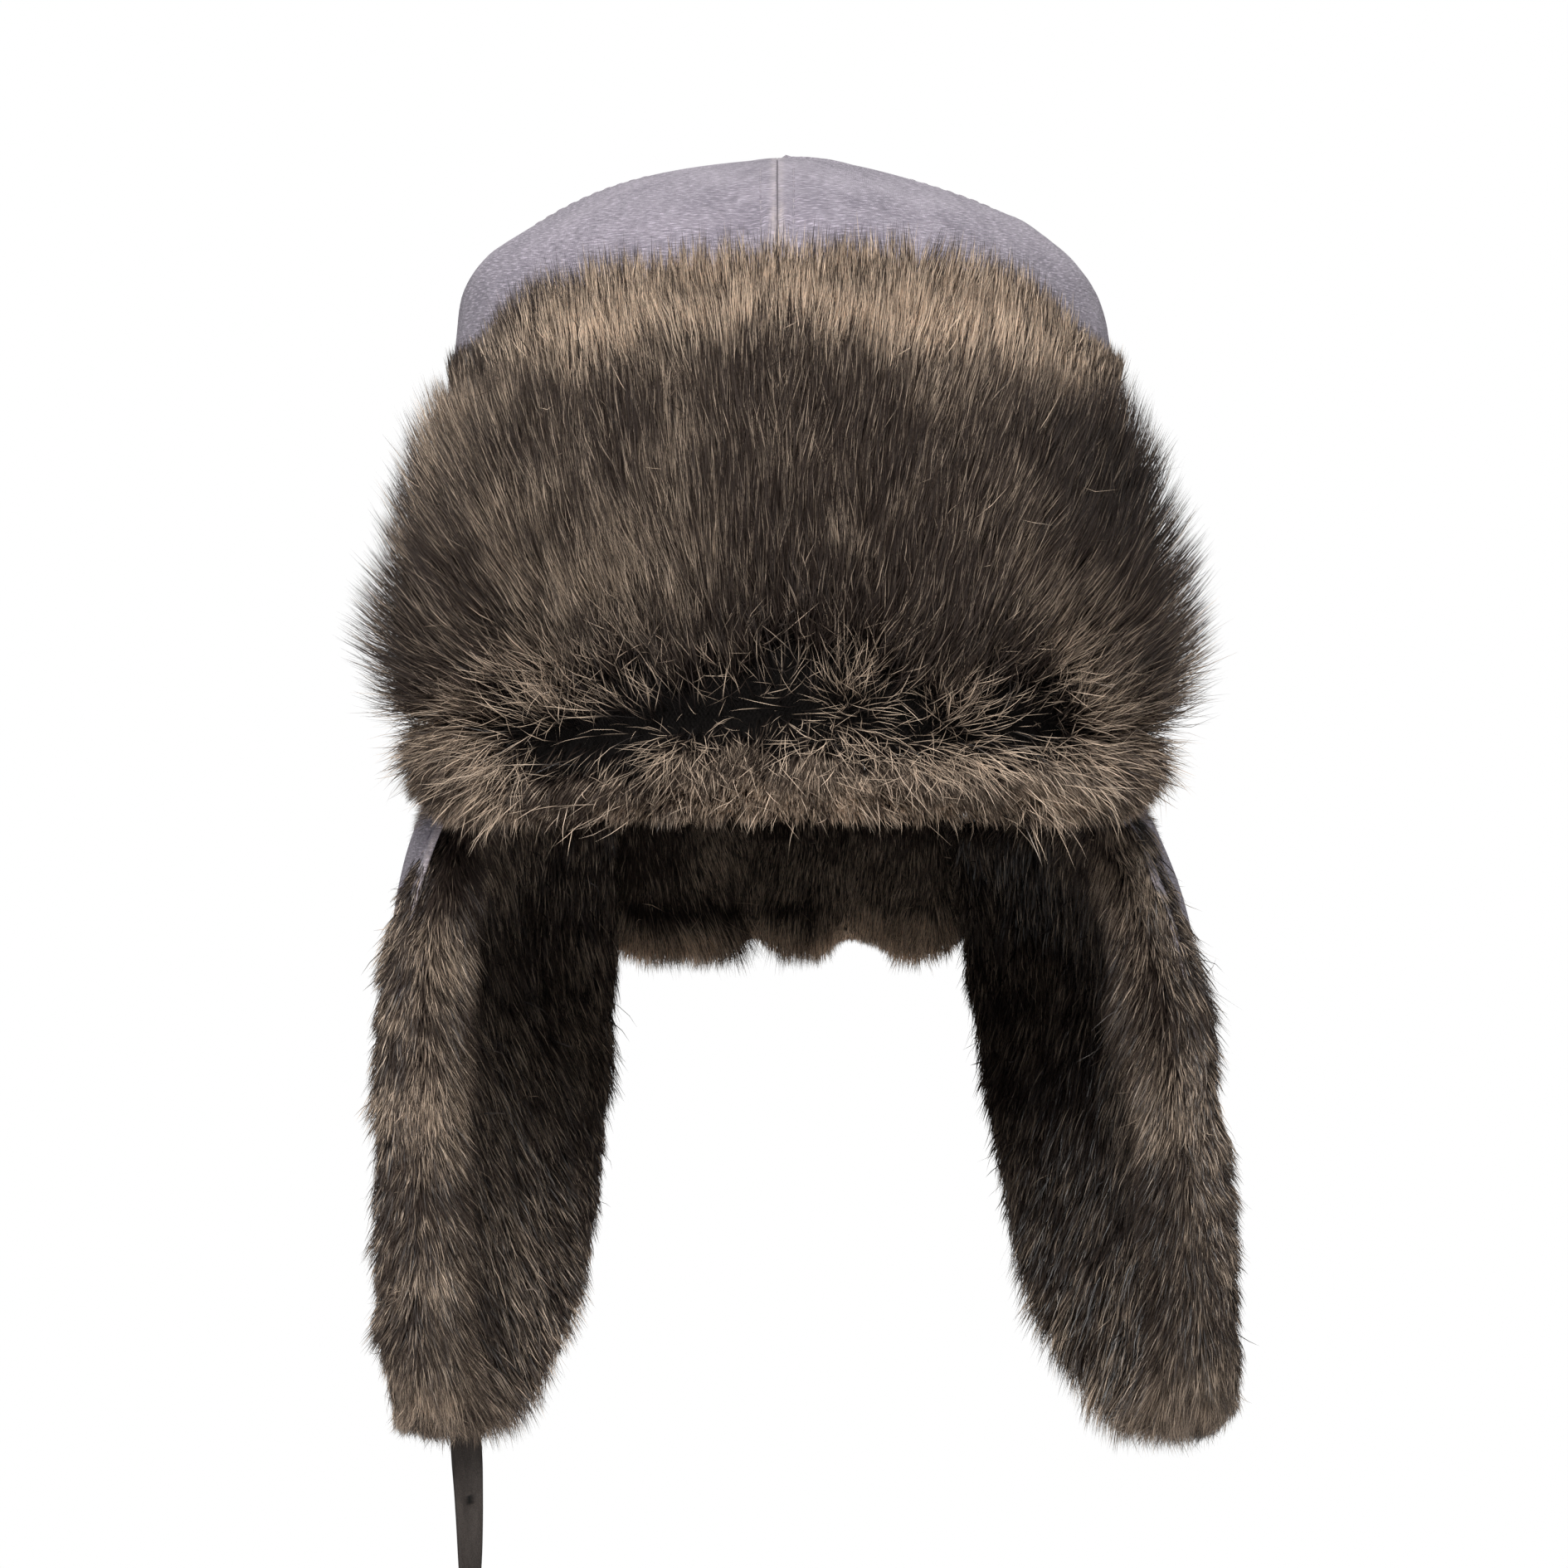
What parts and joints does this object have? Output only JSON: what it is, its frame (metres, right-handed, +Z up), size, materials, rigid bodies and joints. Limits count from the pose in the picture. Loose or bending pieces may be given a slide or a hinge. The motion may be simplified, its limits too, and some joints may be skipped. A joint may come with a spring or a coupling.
{
  "type": "trapper hat",
  "caption": "Trapper hat with a panelled canvas crown, a folded-up fur brow flap, long fur-lined ear flaps, a short neck curtain and a hanging leather chin strap.",
  "frame": {"origin": "centre of the head opening, in the plane of the crown's lower edge", "axes": "+Z up, the wearer looks along -Y, +X is the wearer's left"},
  "size_m": [0.2317, 0.2594, 0.535],
  "materials": {
    "shell_canvas": "washed waxed canvas, grey with a violet cast, pale worn edges",
    "fur": "long faux fur, dark brown base with beige tips",
    "wadding": "polyester wadding",
    "lining": "quilted satin lining",
    "felt": "stiff felt",
    "stiffener": "stiff woven interlining",
    "sweatband": "ribbed cotton band",
    "binding": "folded bias tape",
    "label": "plain woven label",
    "strap_leather": "dull dark grey-brown leather",
    "antique_brass": "aged, satin"
  },
  "bodies": {
    "crown": {"crown_panel_front_left": "shell_canvas", "crown_panel_front_right": "shell_canvas", "crown_panel_rear_left": "shell_canvas", "crown_panel_rear_right": "shell_canvas", "crown_insulation": "wadding", "crown_lining_front_left": "lining", "crown_lining_front_right": "lining", "crown_lining_rear_left": "lining", "crown_lining_rear_right": "lining", "headband_stiffener": "stiffener", "sweatband": "sweatband", "rim_binding": "binding", "inner_label": "label", "size_tab": "label"},
    "brow_flap": {"brow_flap_backing": "shell_canvas", "brow_flap_interlining": "felt", "brow_flap_fur": "fur", "brow_roll_fur": "fur"},
    "ear_flap_left": {"ear_flap_left_shell": "shell_canvas", "ear_flap_left_wadding": "wadding", "ear_flap_left_fur": "fur", "stud_patch": "strap_leather", "strap_stud": "antique_brass", "stud_patch_rivets": "antique_brass"},
    "ear_flap_right": {"ear_flap_right_shell": "shell_canvas", "ear_flap_right_wadding": "wadding", "ear_flap_right_fur": "fur", "strap_anchor_patch": "strap_leather", "strap_anchor_rivet": "antique_brass"},
    "neck_curtain": {"neck_curtain_shell": "shell_canvas", "neck_curtain_wadding": "wadding", "neck_curtain_fur": "fur"},
    "chin_strap": {"chin_strap": "strap_leather"}
  },
  "joints": [
    {"name": "brow_flap_fold", "type": "hinge", "parent": "crown", "child": "brow_flap", "pos_m": [0, -0.127, -0.007], "axis": [1, 0, 0], "range_deg": [0, 140]},
    {"name": "ear_flap_left_fold", "type": "hinge", "parent": "crown", "child": "ear_flap_left", "pos_m": [0.09843, 0.02476, -0.0034], "axis": [0.2439, -0.9698, 0], "range_deg": [0, 158]},
    {"name": "ear_flap_right_fold", "type": "hinge", "parent": "crown", "child": "ear_flap_right", "pos_m": [-0.09843, 0.02476, -0.0034], "axis": [0.2439, 0.9698, 0], "range_deg": [0, 164]},
    {"name": "neck_curtain_fold", "type": "hinge", "parent": "crown", "child": "neck_curtain", "pos_m": [0, 0.118, -0.0034], "axis": [1, 0, 0], "range_deg": [0, 160]},
    {"name": "chin_strap_swing", "type": "hinge", "parent": "ear_flap_right", "child": "chin_strap", "pos_m": [-0.0876, -0.003, -0.1742], "axis": [0.7071, 0.7071, 0], "range_deg": [-65, 65]}
  ]
}
